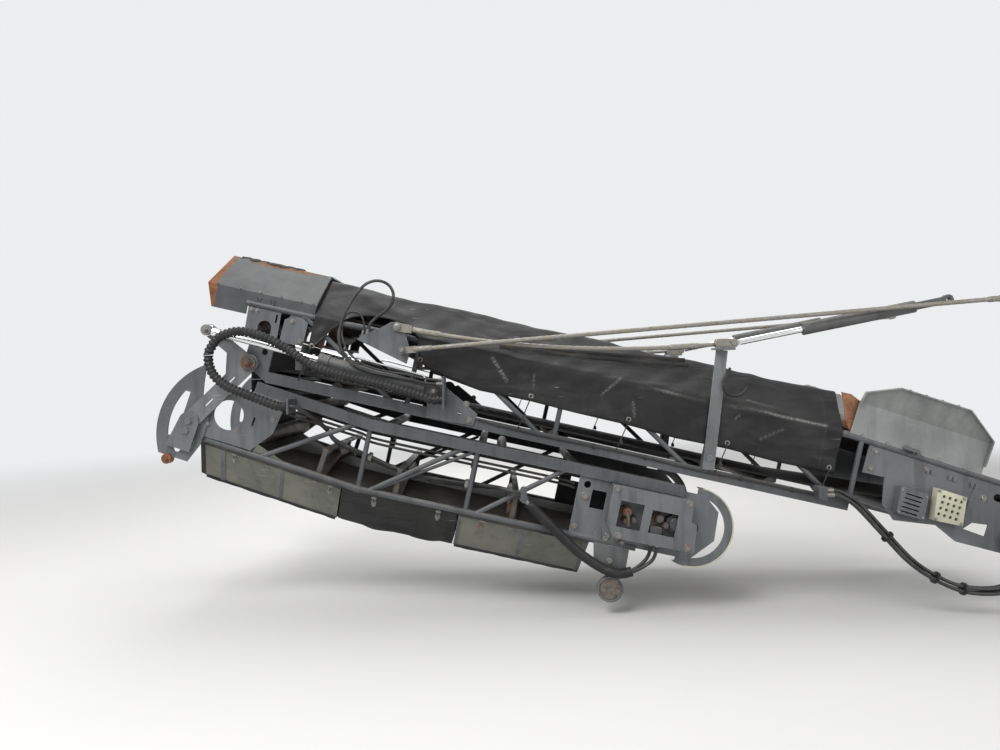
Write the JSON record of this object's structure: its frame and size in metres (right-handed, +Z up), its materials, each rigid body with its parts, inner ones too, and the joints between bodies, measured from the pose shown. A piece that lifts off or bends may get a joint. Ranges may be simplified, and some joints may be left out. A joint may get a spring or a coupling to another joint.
{
  "type": "folding discharge conveyor of a cold planer",
  "caption": "Folding truss belt conveyor with hood and tarpaulin cover, bell-crank fold, hopper and belt drive, folded for transport.",
  "frame": {"origin": "midpoint between the two pivot lugs, on the axis of the pivot pin at the receiving end", "axes": "+X towards the machine, +Z up, Y across the conveyor with the hose side at -Y; the conveyor reaches up and away along -X"},
  "size_m": [5.9444, 1.706, 2.3418],
  "materials": {
    "frame_paint": "satin anthracite paint, worn along edges",
    "plate_paint": "satin grey paint with dust and scratches",
    "arm_paint": "light grey paint",
    "hood_paint": "grey paint with a rusty end band",
    "hopper_paint": "grey-green paint, dusty",
    "panel_sheet": "stiff greenish grey sheet",
    "tarp_cloth": "coated black tarpaulin",
    "belt_rubber": "dusty black rubber",
    "roll_steel": "worn rolls with rust",
    "drum_steel": "dark drum",
    "rod_chrome": "polished chrome rod",
    "cylinder_paint": "light grey cylinder paint",
    "rope_steel": "galvanised rope in beige swaged sleeves",
    "hose_rubber": "black hose cover",
    "sleeve_plastic": "ribbed black conduit",
    "liner_rubber": "rubber skirt stained with rust",
    "yellow_paint": "pale yellow paint",
    "fitting_zinc": "zinc-plated fitting",
    "lamp_finish": "grey bracket and lamp"
  },
  "bodies": {
    "base": {"base_rails": "frame_paint", "base_chords": "frame_paint", "base_posts": "frame_paint", "base_diagonals": "frame_paint", "base_crossmembers": "frame_paint", "base_end_plates": "plate_paint", "fold_brackets": "plate_paint", "cylinder_brackets": "plate_paint", "stay_brackets": "plate_paint", "rope_saddles": "arm_paint", "upper_stays": "rope_steel", "hood": "hood_paint", "tarp_cover": "tarp_cloth", "cover_bows": "frame_paint", "base_idlers": "roll_steel", "base_return_rolls": "roll_steel", "belt_base": "belt_rubber", "tail_drum": "drum_steel", "receiving_plates": "plate_paint", "hopper": "hopper_paint", "hopper_skirts": "liner_rubber", "vent_box": "plate_paint", "perforated_box": "yellow_paint", "hose_clamps": "frame_paint", "hose_coupler": "fitting_zinc", "feed_hose_1": "hose_rubber", "feed_hose_2": "hose_rubber", "feed_hose_3": "hose_rubber", "feed_hose_4": "hose_rubber", "cylinder_hose_1": "hose_rubber", "cylinder_hose_2": "hose_rubber", "hose_sleeve_base": "sleeve_plastic"},
    "fold_arm_pair": {"fold_arms": "arm_paint"},
    "front": {"hose_sleeve_front": "sleeve_plastic", "front_rails": "frame_paint", "front_chords": "frame_paint", "front_posts": "frame_paint", "front_diagonals": "frame_paint", "front_crossmembers": "frame_paint", "hinge_plates": "plate_paint", "front_end_plates": "plate_paint", "front_panels": "panel_sheet", "front_tarp": "tarp_cloth", "head_plates": "plate_paint", "motor_guard": "plate_paint", "drive_motor": "drum_steel", "drive_drum": "drum_steel", "ring_guards": "plate_paint", "front_idlers": "roll_steel", "front_return_rolls": "roll_steel", "belt_front": "belt_rubber", "drive_hose_clamp": "frame_paint", "drive_hose_1": "hose_rubber", "drive_hose_2": "hose_rubber", "work_lamp": "lamp_finish"},
    "fold_cylinders": {"fold_barrels": "cylinder_paint"},
    "fold_cylinder_rods": {"fold_rods": "rod_chrome"},
    "low_stays": {"lower_stays": "rope_steel"},
    "lift_cylinder_rods": {"lift_rods": "rod_chrome"},
    "lift_cylinders": {"lift_barrels": "cylinder_paint"}
  },
  "joints": [
    {"name": "fold", "type": "hinge", "parent": "base", "child": "fold_arm_pair", "pos_m": [-5.08918, 0, 1.20012], "axis": [0, 1, 0], "range_deg": [0, 87]},
    {"name": "front_turn", "type": "hinge", "parent": "fold_arm_pair", "child": "front", "pos_m": [-5.48432, 0, 0.81181], "axis": [0, 1, 0], "range_deg": [0, 87]},
    {"name": "fold_cylinder_swing", "type": "hinge", "parent": "base", "child": "fold_cylinders", "pos_m": [-3.86288, 0, 1.01241], "axis": [0, 1, 0], "range_deg": [0, 9.06]},
    {"name": "fold_cylinder_stroke", "type": "slide", "parent": "fold_cylinders", "child": "fold_cylinder_rods", "axis": [0.9654, 0, -0.2607], "range_m": [0, 0.417]},
    {"name": "stay_swing", "type": "hinge", "parent": "base", "child": "low_stays", "pos_m": [-4.07022, 0, 1.28018], "axis": [0, 1, 0], "range_deg": [-12, 4]},
    {"name": "lift_swing", "type": "hinge", "parent": "base", "child": "lift_cylinder_rods", "pos_m": [-1.896, 0, 1.327], "axis": [0, 1, 0], "range_deg": [-12, 3]},
    {"name": "lift_stroke", "type": "slide", "parent": "lift_cylinder_rods", "child": "lift_cylinders", "axis": [0.9799, 0, 0.1996], "range_m": [-0.34, 0.2]}
  ],
  "couplings": [
    {"joint": "front_turn", "follows": "fold", "ratio": 1},
    {"joint": "fold_cylinder_swing", "follows": "fold", "ratio": 0.10388},
    {"joint": "fold_cylinder_stroke", "follows": "fold", "m_per_rad": 0.27431}
  ]
}
